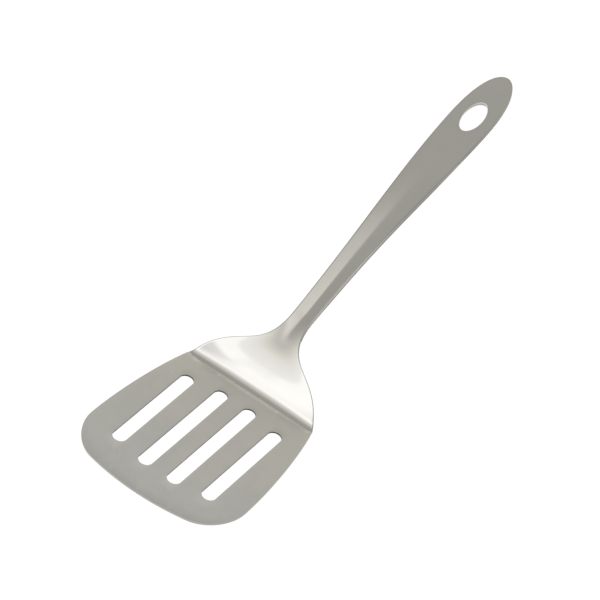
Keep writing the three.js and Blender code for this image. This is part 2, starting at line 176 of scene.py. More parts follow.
def closed_rings(x: np.ndarray, *faces: tuple[np.ndarray, np.ndarray]) -> np.ndarray:
    """Closed sections of a sheet, whose second edge mirrors the first.

    Args:
        x: places along the handle, one per row.
        faces: sides and heights of the top face, the edge and the under face.

    Returns:
        Grid of points, one ring per place.
    """
    side_y, side_z = faces[1]
    y, z = (np.concatenate(parts, axis=1) for parts in zip(*faces, (-side_y[:, ::-1], side_z[:, ::-1])))
    return np.stack([np.broadcast_to(x, y.shape), y, z], axis=-1)


@dataclass
class SheetMesh:
    """Gathers grids of points into one closed mesh.

    Attributes:
        name: name of the piece.
        origin: the crease's place in the frame, in metres.
    """

    name: str
    origin: np.ndarray
    points: list[np.ndarray] = field(default_factory=list)
    quads: list[np.ndarray] = field(default_factory=list)
    caps: list[list[int]] = field(default_factory=list)
    finishes: list[np.ndarray] = field(default_factory=list)
    count: int = 0

    def add(self, grid: np.ndarray, wrap: bool = True, finish: np.ndarray | int = 0) -> None:
        """Adds a grid of points as a sheet of quads.

        Args:
            grid: points in millimetres, rows by columns by three.
            wrap: whether the last column joins the first.
            finish: which of the piece's finishes each quad has, shaped to spread over the quads.
        """
        rows, columns = grid.shape[:2]
        index = np.arange(rows * columns).reshape(rows, columns) + self.count
        if wrap:
            index = np.concatenate([index, index[:, :1]], axis=1)
        corners = [index[:-1, :-1], index[:-1, 1:], index[1:, 1:], index[1:, :-1]]
        self.quads.append(np.stack(corners, axis=-1).reshape(-1, 4))
        self.finishes.append(np.broadcast_to(finish, corners[0].shape).ravel())
        self.points.append(grid.reshape(-1, 3))
        self.count += rows * columns

    def cap(self, *rings: np.ndarray) -> None:
        """Closes rings of points, each with one flat face.

        Args:
            rings: points of each ring, in millimetres.
        """
        for ring in rings:
            self.caps.append(list(range(self.count, self.count + len(ring))))
            self.points.append(ring)
            self.count += len(ring)

    def build(self) -> Piece:
        """Makes the object: doubles merged, normals outwards, smooth but for its sharp edges.

        Returns:
            The object, linked to the scene.
        """
        places = self.origin + np.concatenate(self.points) * MM
        faces = np.concatenate(self.quads).tolist() + self.caps
        mesh = bpy.data.meshes.new(self.name)
        mesh.from_pydata(places, [], faces)
        finish = np.concatenate([*self.finishes, np.zeros(len(self.caps), int)])
        mesh.polygons.foreach_set("material_index", finish.astype(np.int32))
        work = bmesh.new()
        work.from_mesh(mesh)
        bmesh.ops.remove_doubles(work, verts=work.verts[:], dist=SAME_POINT)
        bmesh.ops.recalc_face_normals(work, faces=work.faces[:])
        work.to_mesh(mesh)
        work.free()
        mesh.shade_smooth()
        mesh.set_sharp_from_angle(angle=SHARP_ANGLE)
        piece = bpy.data.objects.new(self.name, mesh)
        bpy.context.scene.collection.objects.link(piece)
        return piece


@dataclass
class NodeBench:
    """Places shader nodes in one tree and joins them.

    Attributes:
        tree: the node tree that is worked on.
    """

    tree: bpy.types.NodeTree

    def add(self, kind: str, inputs: dict[int | str, object], **settings: object) -> bpy.types.Node:
        """Adds one node.

        Args:
            kind: the node's type, without its ShaderNode prefix.
            inputs: value or source socket for each input, by name or place.
            settings: the node's own settings.

        Returns:
            The node.
        """
        prefix = "" if kind.startswith("Node") else "ShaderNode"
        node = self.tree.nodes.new(prefix + kind)
        for key, value in settings.items():
            setattr(node, key, value)
        for key, value in inputs.items():
            if isinstance(value, Output):
                self.tree.links.new(value, node.inputs[key])
            else:
                node.inputs[key].default_value = value
        return node

    def math(self, operation: str, *values: object) -> Output:
        """Output of a Math node on values or sockets."""
        return self.add("Math", dict(enumerate(values)), operation=operation).outputs[0]

    def fade(self, value: Output, span: Pair, low: float = 0.0, high: float = 1.0) -> Output:
        """Output that goes smoothly from low at the span's start to high at its end."""
        inputs = {"Value": value, "From Min": span[0], "From Max": span[1], "To Min": low, "To Max": high}
        return self.add("MapRange", inputs, interpolation_type="SMOOTHSTEP").outputs[0]

    def noise(self, vector: Output, scale: object, detail: float, warp: float = 0.0) -> Output:
        """Output of a noise pattern, about 0.5 on average."""
        inputs = {"Vector": vector, "Scale": scale, "Detail": detail, "Distortion": warp}
        return self.add("TexNoise", inputs).outputs[0]

    def ramp(self, value: Output, stops: Stops) -> Output:
        """Colour that goes in straight lines from stop to stop, where a number stands for grey.

        Args:
            value: what it follows.
            stops: places and colours, in order.

        Returns:
            The output.
        """
        start, end = stops[0][0], stops[-1][0]
        share = self.add("MapRange", {"Value": value, "From Min": start, "From Max": end}).outputs[0]
        node = self.add("ValToRGB", {"Fac": share})
        elements = node.color_ramp.elements
        while len(elements) < len(stops):
            elements.new(1.0)
        for element, (place, colour) in zip(elements, stops):
            element.position = (place - start) / (end - start)
            element.color = (*np.broadcast_to(colour, 3), 1.0)
        return node.outputs["Color"]

    def blend(self, share: Output, first: object, second: object, way: str = "MIX") -> Output:
        """Colour between two colours by a share, or between the first and their product."""
        return self.add("Mix", {0: share, 6: first, 7: second}, data_type="RGBA", blend_type=way).outputs[2]


class Socket(Enum):
    """Kinds of socket that a node group has."""

    VALUE = "NodeSocketFloat"
    VECTOR = "NodeSocketVector"
    COLOUR = "NodeSocketColor"


def start_group(
    name: str, inputs: dict[str, Socket], outputs: dict[str, Socket]
) -> tuple[NodeBench, list[Output], bpy.types.Node]:
    """Starts a shader node group with named sockets.

    Args:
        name: the group's name.
        inputs: its inputs.
        outputs: its outputs.

    Returns:
        The bench that works on it, what its inputs give in their order, and its output node.
    """
    tree = bpy.data.node_groups.new(name, "ShaderNodeTree")
    for way, sockets in (("INPUT", inputs), ("OUTPUT", outputs)):
        for key, kind in sockets.items():
            tree.interface.new_socket(name=key, in_out=way, socket_type=kind.value)
    bench = NodeBench(tree)
    given = bench.add("NodeGroupInput", {})
    return bench, [given.outputs[key] for key in inputs], bench.add("NodeGroupOutput", {})


@dataclass
class SteelEffects:
    """Node groups that the steel finishes share.

    Attributes:
        close_scale: close cells of the mottling to one broad cell.
        close_share: share of the close cells in it.
        mottle_span: noise between which the shade comes in.
        streak_scale: streaks to one polishing line.
        mark_warp: how far the noise of the handling marks is distorted.
        mark_width: distance from the noise's middle at which a mark ends.
        patch_scale: patches of marks to one cell of that noise.
        patch_span: noise between which the marks of a patch come in.
    """

    close_scale: float = 5.3
    close_share: float = 0.35
    mottle_span: Pair = (0.36, 0.64)
    streak_scale: float = 0.17
    mark_warp: float = 1.6
    mark_width: float = 0.006
    patch_scale: float = 0.45
    patch_span: Pair = (0.5, 0.7)

    def __post_init__(self) -> None:
        """Builds each group once."""
        self.mottle = self.make_mottle()
        self.grain = self.make_grain()
        self.wear = self.make_wear()

    def make_mottle(self) -> bpy.types.NodeTree:
        """Cloudy change of tint: two sizes of noise lean the tint towards its product with the shade.

        Returns:
            The group.
        """
        bench, (vector, scale, tint, shade), result = start_group(
            "steel_mottle",
            {"Vector": Socket.VECTOR, "Scale": Socket.VALUE, "Tint": Socket.COLOUR, "Shade": Socket.COLOUR},
            {"Color": Socket.COLOUR},
        )
        broad = bench.noise(vector, scale, detail=2.0)
        close = bench.noise(vector, bench.math("MULTIPLY", scale, self.close_scale), detail=3.0)
        broad = bench.math("MULTIPLY", broad, 1.0 - self.close_share)
        share = bench.fade(bench.math("MULTIPLY_ADD", close, self.close_share, broad), self.mottle_span)
        bench.tree.links.new(bench.blend(share, tint, shade, "MULTIPLY"), result.inputs["Color"])
        return bench.tree

    def make_grain(self) -> bpy.types.NodeTree:
        """Fine polishing lines: noise stretched along the stroke of the brush.

        Returns:
            The group.
        """
        bench, (vector, stretch), result = start_group(
            "steel_grain",
            {"Vector": Socket.VECTOR, "Stretch": Socket.VECTOR},
            {"Height": Socket.VALUE, "Streak": Socket.VALUE},
        )
        stroke = bench.add("VectorMath", {0: vector, 1: stretch}, operation="MULTIPLY").outputs[0]
        bench.tree.links.new(bench.noise(stroke, 1.0, detail=4.0), result.inputs["Height"])
        bench.tree.links.new(bench.noise(stroke, self.streak_scale, detail=2.0), result.inputs["Streak"])
        return bench.tree

    def make_wear(self) -> bpy.types.NodeTree:
        """Handling marks: thin lines where a warped noise crosses its middle, in patches of a second noise.

        Returns:
            The group.
        """
        bench, (vector, scale), result = start_group(
            "steel_wear", {"Vector": Socket.VECTOR, "Scale": Socket.VALUE}, {"Mask": Socket.VALUE}
        )
        warped = bench.noise(vector, scale, detail=1.0, warp=self.mark_warp)
        off_middle = bench.math("ABSOLUTE", bench.math("SUBTRACT", warped, NOISE_MIDDLE))
        line = bench.fade(off_middle, (0.0, self.mark_width), 1.0, 0.0)
        patch = bench.noise(vector, bench.math("MULTIPLY", scale, self.patch_scale), detail=1.0)
        mask = bench.math("MULTIPLY", line, bench.fade(patch, self.patch_span))
        bench.tree.links.new(mask, result.inputs["Mask"])
        return bench.tree


class Stroke(Enum):
    """Way that the polishing lines run: how many noise cells per metre along X, Y and Z."""

    ALONG = (90.0, 2600.0, 2600.0)
    EVEN = (1900.0, 1900.0, 1900.0)


@dataclass(frozen=True)
class PaintedLightStrip:
    """Painted light: a brighter strip across the blade at its heel, raised to make up for the dark
    reflection of the shoulder's bend there.

    Attributes:
        tint: colour painted where the strip is full.
        along: the X between which it brightens, in metres.
        right_end: the Y between which it begins, in metres.
        left_end: the Y between which it ends, in metres.
    """

    tint: Colour
    along: Pair
    right_end: Pair
    left_end: Pair

    def over(self, bench: NodeBench, place: Output, tint: object) -> Output:
        """Lays the strip of painted light over a tint.

        Args:
            bench: the bench that works on the material.
            place: coordinates of the point.
            tint: colour outside the strip.

        Returns:
            The colour.
        """
        split = bench.add("SeparateXYZ", {0: place})
        depth = bench.fade(split.outputs["X"], self.along)
        right = bench.fade(split.outputs["Y"], self.right_end)
        left = bench.fade(split.outputs["Y"], self.left_end, 1.0, 0.0)
        share = bench.math("MULTIPLY", depth, bench.math("MULTIPLY", right, left))
        return bench.blend(share, tint, (*self.tint, 1.0))


@dataclass(frozen=True)
class SteelFinish:
    """One finish of the stainless steel.

    Attributes:
        name: name of the material.
        tint: colour of the metal, or places along X in metres and the colours there; the blade's and the
            edges' stops paint reflection and shade.
        shade: colour that multiplies the tint where the mottling is full.
        roughness: its gloss.
        streaks: change of roughness along the polishing lines.
        mottle_scale: mottling cells per metre.
        stroke: way of the polishing lines.
        grain_height: depth of the polishing lines, in metres.
        wear: roughness that handling marks add.
        mark_scale: noise cells of the handling marks per metre.
        strip: a strip of painted light, where it has one.
        far_roughness: gloss at the far end, where it differs.
        change: the X between which the gloss goes to that of the far end, in metres.
    """

    name: str
    tint: Colour | Stops
    shade: Colour
    roughness: float
    streaks: float
    mottle_scale: float
    stroke: Stroke = Stroke.EVEN
    grain_height: float = 2e-6
    wear: float = 0.05
    mark_scale: float = 160.0
    strip: PaintedLightStrip | None = None
    far_roughness: float | None = None
    change: Pair = (-0.04, 0.06)

    def material(self, effects: SteelEffects) -> bpy.types.Material:
        """Makes the material: mottled tint, roughness that follows the stroke, fine lines as bump.

        Args:
            effects: the shared node groups.

        Returns:
            The material.
        """
        material = bpy.data.materials.new(self.name)
        material.use_nodes = True
        bench = NodeBench(material.node_tree)
        shader = material.node_tree.nodes["Principled BSDF"]
        place = bench.add("TexCoord", {}).outputs["Object"]
        along = bench.add("SeparateXYZ", {0: place}).outputs["X"]
        tint = bench.ramp(along, self.tint) if isinstance(self.tint[0], tuple) else (*self.tint, 1.0)
        # Painted light: the strip brightens the tint at the blade's heel.
        if self.strip:
            tint = self.strip.over(bench, place, tint)
        clouds = {"Vector": place, "Scale": self.mottle_scale, "Tint": tint, "Shade": (*self.shade, 1.0)}
        mottle = bench.add("Group", clouds, node_tree=effects.mottle)
        grain = bench.add("Group", {"Vector": place, "Stretch": self.stroke.value}, node_tree=effects.grain)
        wear = bench.add("Group", {"Vector": place, "Scale": self.mark_scale}, node_tree=effects.wear)
        gloss = bench.fade(along, self.change, self.roughness, self.far_roughness or self.roughness)
        streak = bench.math("SUBTRACT", grain.outputs["Streak"], NOISE_MIDDLE)
        streak = bench.math("MULTIPLY", streak, self.streaks)
        marks = bench.math("MULTIPLY_ADD", wear.outputs["Mask"], self.wear, streak)
        lines = {"Height": grain.outputs["Height"], "Strength": 1.0, "Distance": self.grain_height}
        bump = bench.add("Bump", lines)
        links = material.node_tree.links
        links.new(mottle.outputs["Color"], shader.inputs["Base Color"])
        links.new(bench.math("ADD", gloss, marks), shader.inputs["Roughness"])
        links.new(bump.outputs["Normal"], shader.inputs["Normal"])
        shader.inputs["Metallic"].default_value = 1.0
        return material


@dataclass(frozen=True)
class HandleForm:
    """Shape of the handle's pressed face and outline, in millimetres from the crease.

    Attributes are the driving sizes of the solids, with the same meanings.
    """

    length: float = 237.2
    width: float = 23.7
    widest_from_tip: float = 38.3
    heel_width: float = 79.8
    neck_at: float = 46.9
    neck_width: float = 11.8
    flare_run: float = 27.4
    flare_drop: float = 13.1
    shoulder_neck_pull: float = 30.2
    grip_neck_pull: float = 64.0
    grip_wide_pull: float = 44.0
    tip_corner_run: float = 6.0
    tip_end_pull: float = 4.0
    neck_rise: float = 11.94
    neck_slope: float = 0.0356
    bend_start_slope: float = 0.3
    bend_run: float = 5.6
    bend_slope: float = 0.58
    bend_slope_edge: float = 0.75
    bend_edge_power: float = 3.0
    shoulder_pull: float = 5.5
    shoulder_ease: float = 17.5
    arch_pull: float = 95.0
    tip_pull: float = 62.0
    tip_slope: float = 0.0844
    trough_depth: float = 2.3
    trough_rise: Pair = (21.0, 51.0)
    trough_fade: Pair = (93.0, 188.0)
    trough_round: Pair = (0.35, 0.12)
    shell_wall: float = 1.2
    back_wall: float = 0.9
    edge_turn: float = 0.15
    lip_drop: float = 1.05
    back_from: float = 36.0
    hollow_full_from: float = 73.0
    hollow_full_from_tip: float = 99.3
    hollow_end_from_tip: float = 48.3
    seam_gap: float = 0.8
    blade_wall: float = 1.0
    blade_tilt: float = math.radians(24.23)
    lap_length: float = 9.0
    clearance: float = 0.3
    eye_from_tip: float = 33.3
    eye_length: float = 21.8
    eye_width: float = 10.85
    eye_flare: float = 0.6
    eyelet_wall: float = 1.1
    tip_from: float = 189.9
    square_run: float = 4.0

    @property
    def widest_at(self) -> float:
        """X of the handle's widest place."""
        return self.length - self.widest_from_tip

    @property
    def eye_at(self) -> float:
        """X of the hanging eye's middle."""
        return self.length - self.eye_from_tip

    @property
    def tip_stack(self) -> float:
        """Thickness of the flat tip: both sheets and the seam between them."""
        return self.shell_wall + self.edge_turn + self.seam_gap + self.back_wall

    @property
    def tip_level(self) -> float:
        """Height of the tip's top face above the crease, with heel and tip on the table."""
        heel_stack = self.shell_wall + self.edge_turn - self.flange_height(self.clearance)
        return self.tip_stack - heel_stack

    @property
    def tip_outline(self) -> Curve:
        """Curve of the half-width from the widest place to the tip."""
        (x, y), end = (self.widest_at, self.width / 2), self.length
        return (x, y), (end - self.tip_corner_run, y), (end, self.tip_end_pull), (end, 0.0)

    def half_width(self, x: np.ndarray) -> np.ndarray:
        """Half of the outline's width: three Bezier curves, for the shoulder, the grip and the tip.

        Args:
            x: places along the handle.

        Returns:
            Half-widths, shaped as x.
        """
        heel, neck = (0.0, self.heel_width / 2), (self.neck_at, self.neck_width / 2)
        flare = (self.flare_run, -self.flare_drop)
        shoulder = pulled(heel, flare, (self.shoulder_neck_pull, 0.0), neck)
        widest = (self.widest_at, self.width / 2)
        grip = pulled(neck, (self.grip_neck_pull, 0.0), (self.grip_wide_pull, 0.0), widest)
        behind = np.where(x < self.widest_at, height_over(grip, x), height_over(self.tip_outline, x))
        return np.where(x < self.neck_at, height_over(shoulder, x), behind)

    def flange_height(self, x: np.ndarray) -> np.ndarray:
        """Height of the lap flange's face: the blade's plane less its thickness and the clearance."""
        below = (self.blade_wall + self.clearance) / math.cos(self.blade_tilt)
        return -x * math.tan(self.blade_tilt) - below

    def arch(self, x: np.ndarray) -> np.ndarray:
        """Height of the top edge from the neck to the tip: one Bezier curve down to the table.

        Args:
            x: places along the handle.

        Returns:
            Heights above the crease.
        """
        leave = (self.arch_pull, self.arch_pull * self.neck_slope)
        arrive = (self.tip_pull, -self.tip_pull * self.tip_slope)
        neck, tip = (self.neck_at, self.neck_rise), (self.length, self.tip_level)
        return height_over(pulled(neck, leave, arrive, tip), x)

    def bent(self, x: np.ndarray, slope: float) -> np.ndarray:
        """Height of the shoulder: a parabola falls from the crease and turns up, then a Bezier climbs.

        Args:
            x: places along the handle.
            slope: slope at the end of the turn.

        Returns:
            Heights above the crease.
        """
        fall, run = self.bend_start_slope, self.bend_run
        rise = run * (slope - fall) / 2
        leave = (self.shoulder_pull, self.shoulder_pull * slope)
        arrive = (self.shoulder_ease, self.shoulder_ease * self.neck_slope)
        climb = pulled((run, rise), leave, arrive, (self.neck_at, self.neck_rise))
        turn = -fall * x + (slope + fall) * x * x / (2 * run)
        return np.where(x < run, turn, height_over(climb, x))

    def face(self, x: np.ndarray, share: np.ndarray) -> np.ndarray:
        """Height of the top face: the bent sheet, steeper at its edges, less a round-bottomed trough.

        Args:
            x: places along the handle.
            share: places across it, from 0 at the middle to 1 at the edge.

        Returns:
            Heights above the crease.
        """
        middle = self.bent(x, self.bend_slope)
        edge = self.bent(x, self.bend_slope_edge)
        shoulder = middle + (edge - middle) * share**self.bend_edge_power
        sheet = np.where(x < self.neck_at, shoulder, self.arch(x))
        grown = ease(*self.trough_rise, x)
        depth = self.trough_depth * grown * (1.0 - ease(*self.trough_fade, x))
        rounding = self.trough_round[0] + (self.trough_round[1] - self.trough_round[0]) * grown
        climb = (np.hypot(share, rounding) - rounding) / (np.hypot(1.0, rounding) - rounding)
        return sheet - depth * (1.0 - climb)

    def fullness(self, x: np.ndarray) -> np.ndarray:
        """How far the handle is hollow: 0 at the neck and the flat tip, 1 between."""
        ends = (self.length - self.hollow_full_from_tip, self.length - self.hollow_end_from_tip)
        return ease(self.back_from, self.hollow_full_from, x) * (1.0 - ease(*ends, x))

    def lip(self, x: np.ndarray) -> np.ndarray:
        """Depth of the top shell's turned-down edge."""
        return self.shell_wall + self.edge_turn + self.lip_drop * self.fullness(x)

    def edge_path(self, start: float, spacing: float) -> tuple[np.ndarray, np.ndarray]:
        """Outline from a start on the left side, round the tip and back on the right.

        Args:
            start: X where it begins and ends.
            spacing: step along the sides.

        Returns:
            Plane points, and the inward direction at each, which is straight across at both ends.
        """
        count = int((self.widest_at - start) / spacing) + 2
        sides = np.linspace(start, self.widest_at, count)[:-1]
        side = np.stack([sides, self.half_width(sides)], axis=1)
        tip = bezier(self.tip_outline, np.linspace(0.0, 1.0, TIP_STEPS + 1))
        left = np.concatenate([side, tip])
        path = np.concatenate([left, left[-2::-1] * (1.0, -1.0)])
        normals = -inward_normals(path, closed=False)
        across = np.stack([np.zeros(len(path)), -np.sign(path[:, 1])], axis=1)
        return path, across + (normals - across) * ease(start, start + self.square_run, path[:, :1])

    def eye_loop(self, loop: np.ndarray, gap: float) -> np.ndarray:
        """Points of the eye's oval that face the points of a loop round it.

        Args:
            loop: plane points of the outer loop.
            gap: distance from the eye's wall.

        Returns:
            One plane point on the oval for each.
        """
        reach = (self.eye_length / 2 + gap, self.eye_width / 2 + gap)
        angle = np.arctan2(loop[:, 1] / reach[1], (loop[:, 0] - self.eye_at) / reach[0])
        return oval((self.eye_at, 0.0), reach, angle)


@dataclass
class Shell:
    """One pressed sheet of the hollow handle, swept along X and closed round the hanging eye.

    Attributes:
        form: the handle's shape.
        origin: the crease's place, in metres.
        across: points across each face.
        tip_spacing: step along the edge before the tip.
        eye_rows: strips of each face round the eye.
        eye_seam: gap between the sheet and the eyelet.
        edge_finish: finish of each strip of the edge, from the face to the underside.
    """

    form: HandleForm
    origin: np.ndarray
    across: int = 65
    tip_spacing: float = 1.0
    eye_rows: int = 12
    eye_seam: float = 0.02
    edge_finish: tuple[int, ...] = (0,)

    def closed(self, name: str, rings: np.ndarray, finish: np.ndarray | int = 0) -> Piece:
        """Makes one closed sheet of a sweep: its first ring capped, its last one carried round the tip.

        Args:
            name: name of the piece.
            rings: closed sections: top face, edge, under face, other edge.
            finish: finish of each strip of the sections.

        Returns:
            The piece.
        """
        sheet = SheetMesh(name, self.origin)
        sheet.add(rings, finish=finish)
        sheet.cap(rings[0])
        self.close_tip(sheet, rings[-1])
        return sheet.build()

    def close_tip(self, sheet: SheetMesh, ring: np.ndarray) -> None:
        """Carries the last ring's edge round the tip, and fills both faces round the eye.

        The edge's profile keeps its distance from the outline and its drop below the arch.

        Args:
            sheet: the mesh that is being gathered.
            ring: last ring of the sweep.
        """
        form = self.form
        edge_points = len(ring) // 2 - self.across
        top = ring[: self.across]
        under = ring[self.across + edge_points : 2 * self.across + edge_points]
        profile = np.concatenate([top[-1:], ring[self.across : self.across + edge_points], under[:1]])
        inset = form.half_width(profile[0, 0]) - profile[:, 1]
        drop = form.arch(profile[:, 0]) - profile[:, 2]
        path, inward = form.edge_path(form.tip_from, self.tip_spacing)
        plane = path[:, None] + inward[:, None] * inset[None, :, None]
        band = with_height(plane, form.arch(plane[..., 0]) - drop)
        sheet.add(band, wrap=False, finish=np.array(self.edge_finish))
        top_loop = np.concatenate([band[:, 0, :2], top[1:-1, :2]])
        under_loop = np.concatenate([band[:, -1, :2], under[-2:0:-1, :2]])
        hole = form.eye_loop(top_loop, form.eyelet_wall + self.eye_seam)
        rims = []
        for loop, below in ((top_loop, drop[0]), (under_loop, drop[-1])):
            patch = ring_patch(hole, loop, self.eye_rows)
            face = with_height(patch, form.arch(patch[..., 0]) - below)
            sheet.add(face)
            rims.append(face[0])
        sheet.add(np.stack(rims))


@dataclass
class TopShell(Shell):
    """The visible pressing: lap flange, shoulder, neck and handle face, with rounded turned-down edges.

    Attributes:
        edge_round: radius of the outer edges.
        edge_points: points along that rounding.
        lap_inset: how far the flange stays inside the heel's ends.
        lap_taper: how much narrower its front is on each side.
        start: X where the face comes up behind the blade's heel.
        lip_round: bevel of the lip's lower edge.
        ring_counts: sections of the flange, the bend, the shoulder and the grip.
    """

    edge_round: float = 0.6
    edge_points: int = 8
    lap_inset: float = 1.6
    lap_taper: float = 5.0
    start: float = 0.06
    lip_round: float = 0.12
    ring_counts: tuple[int, int, int, int] = (12, 40, 64, 110)
    # Painted shade: all but the first strip of the edge take the darker edge steel.
    edge_finish: tuple[int, ...] = (0,) + 10 * (1,)

    def rings(self, x: np.ndarray, half: np.ndarray, lip: np.ndarray, heights: FaceHeights) -> np.ndarray:
        """Closed sections: face, tangent edge arc, lip, under face, and the other edge mirrored.

        The arc's centre is one radius in from the side, and it starts where the face's slope meets it.

        Args:
            x: places along the handle.
            half: half-widths there.
            lip: depths of the turned-down edge there.
            heights: gives the face's height by share.

        Returns:
            Grid of points, one ring per place.
        """
        half, lip = half[:, None], lip[:, None]
        radius, wall = self.edge_round, self.form.shell_wall
        spread = np.linspace(-1.0, 1.0, self.across)[None, :]
        edge = heights(np.ones_like(half))
        lean = np.arctan((edge - heights(1.0 - radius / half)) / radius)
        top_y = (half - radius * (1.0 + np.sin(lean))) * spread
        top_z = heights(np.abs(top_y) / half)
        turn = -lean + (QUARTER_TURN + lean) * np.linspace(0.0, 1.0, self.edge_points)[None, 1:]
        arc_y = half - radius * (1.0 - np.sin(turn))
        arc_z = top_z[:, -1:] + radius * (np.cos(turn) - np.cos(lean))
        low = edge - lip
        side_y = np.concatenate([arc_y, half, half - self.lip_round, half - wall], axis=1)
        side_z = np.concatenate([arc_z, low + self.lip_round, low, low], axis=1)
        under_y = -(half - wall) * spread
        under_z = heights(np.abs(under_y) / half) - wall
        return closed_rings(x[:, None], (top_y, top_z), (side_y, side_z), (under_y, under_z))

    def flange_rings(self) -> np.ndarray:
        """Sections of the lap flange, which narrows towards its front by the square of the distance.

        Returns:
            Grid of points, one ring per place.
        """
        form = self.form
        run = form.lap_length * math.cos(form.blade_tilt)
        x = np.linspace(-run, 0.0, self.ring_counts[0])
        half = form.heel_width / 2 - self.lap_inset - self.lap_taper * (x / run) ** 2
        lip = np.full_like(x, form.shell_wall + form.edge_turn)
        height = form.flange_height(x)[:, None]
        return self.rings(x, half, lip, lambda share: height + 0.0 * share)

    def face_rings(self) -> np.ndarray:
        """Sections of the shoulder, neck and handle, close together on the bend behind the heel.

        Returns:
            Grid of points, one ring per place.
        """
        form = self.form
        bend = np.linspace(self.start, form.bend_run, self.ring_counts[1])
        shoulder = np.linspace(form.bend_run, form.neck_at, self.ring_counts[2])[1:]
        grip = np.linspace(form.neck_at, form.tip_from, self.ring_counts[3])[1:]
        x = np.concatenate([bend, shoulder, grip])
        return self.rings(x, form.half_width(x), form.lip(x), lambda share: form.face(x[:, None], share))

    def build(self) -> Piece:
        """Builds the pressing.

        Returns:
            The piece.
        """
        face = np.zeros(self.across - 1, int)
        finish = np.concatenate([face, self.edge_finish, face, self.edge_finish[::-1]])
        return self.closed("top_shell", np.concatenate([self.flange_rings(), self.face_rings()]), finish)


@dataclass
class BackShell(Shell):
    """The hidden pressing that closes the handle from behind.

    Attributes:
        depth: how far the channel reaches below its rim.
        squareness: power of its section: side and depth raised to it add up to one.
        edge_round: radius of the strip's lower edges.
        edge_steps: points along that rounding.
        ring_count: sections along the handle.
    """

    depth: float = 4.2
    squareness: float = 2.6
    edge_round: float = 0.45
    edge_steps: int = 8
    ring_count: int = 150

    def rings(self, x: np.ndarray) -> np.ndarray:
        """Closed sections: a strip that follows the face where the handle is thin, a deep channel between.

        The side is an angle's cosine and the depth its sine, each to the power two over the squareness.

        Args:
            x: places along the handle.

        Returns:
            Grid of points, one ring per place.
        """
        form = self.form
        x = x[:, None]
        half = form.half_width(x)
        full = form.fullness(x)
        edge = form.face(x, np.ones_like(x))
        rim = form.lip(x) + form.seam_gap
        power = 2.0 / self.squareness

        def section(
            angle: np.ndarray, reach: np.ndarray, wall: float, rounding: float
        ) -> tuple[np.ndarray, np.ndarray]:
            """Side and height of one face of the sheet.

            Args:
                angle: places round the section.
                reach: side at the angle zero.
                wall: how far the face lies below the sheet's upper face.
                rounding: radius of its edges.

            Returns:
                Sides and heights, shaped as angle.
            """
            cosine = np.cos(angle)
            side = np.sign(cosine) * np.abs(cosine) ** power
            deep = np.abs(np.sin(angle)) ** power
            strip = rim + edge - form.face(x, np.abs(side)) + wall
            near = np.clip(1.0 - half * (1.0 - np.abs(side)) / self.edge_round, 0.0, 1.0)
            strip = strip - rounding * (1.0 - np.sqrt(1.0 - near**2))
            channel = rim + (self.depth - form.back_wall + wall) * deep
            return reach * side, edge - strip - (channel - strip) * full

        turn = np.arccos((1.0 - self.edge_round / half) ** (1.0 / power))
        spread = np.linspace(0.0, 1.0, self.across)[None, :]
        steps = np.linspace(0.0, 1.0, self.edge_steps + 1)[None, :-1]
        below = (half, form.back_wall, self.edge_round)
        top = section(math.pi * (1.0 - spread) + 0.0 * x, half - form.back_wall * full, 0.0, 0.0)
        side = section(turn * steps, *below)
        return closed_rings(x, top, side, section(turn + (math.pi - 2.0 * turn) * spread, *below))

    def build(self) -> Piece:
        """Builds the pressing."""
        x = np.linspace(self.form.back_from, self.form.tip_from, self.ring_count)
        return self.closed("back_shell", self.rings(x))


@dataclass
class Eyelet:
    """Oval sleeve that lines the hanging eye, flush with both shells and rounded into the hole.

    Attributes:
        form: the handle's shape.
        origin: the crease's place, in metres.
        rim_round: radius of its upper rim.
        foot_round: radius of its lower rim.
        round_points: points along each of them.
        around: points round the oval.
    """

    form: HandleForm
    origin: np.ndarray
    rim_round: float = 0.6
    foot_round: float = 0.3
    round_points: int = 9
    around: int = 120

    def build(self) -> Piece:
        """Carries the sleeve's profile round the oval, below the arch of the face.

        Returns:
            The piece.
        """
        form = self.form
        depth = form.tip_stack
        rim, foot = (quarter_round(size, self.round_points) for size in (self.rim_round, self.foot_round))
        foot = foot[::-1] * (1.0, -1.0) + (form.eye_flare, depth)
        outer = np.array([[form.eyelet_wall, depth], [form.eyelet_wall, 0.0]])
        profile = np.concatenate([rim, foot, outer, rim[:1]])
        strip = np.arange(len(profile) - 1)[:, None]
        # Painted shade: the last of the rim, the bore's wall and the foot take the darker edge steel.
        in_bore = (strip >= len(rim) - 2) & (strip < len(rim) + len(foot))
        angle = np.linspace(0.0, FULL_TURN, self.around, endpoint=False)[None, :]
        out = profile[:, :1]
        plane = oval((form.eye_at, 0.0), (form.eye_length / 2 + out, form.eye_width / 2 + out), angle)
        sheet = SheetMesh("eyelet", self.origin)
        sheet.add(with_height(plane, form.arch(plane[..., 0]) - profile[:, 1:]), finish=in_bore.astype(int))
        return sheet.build()


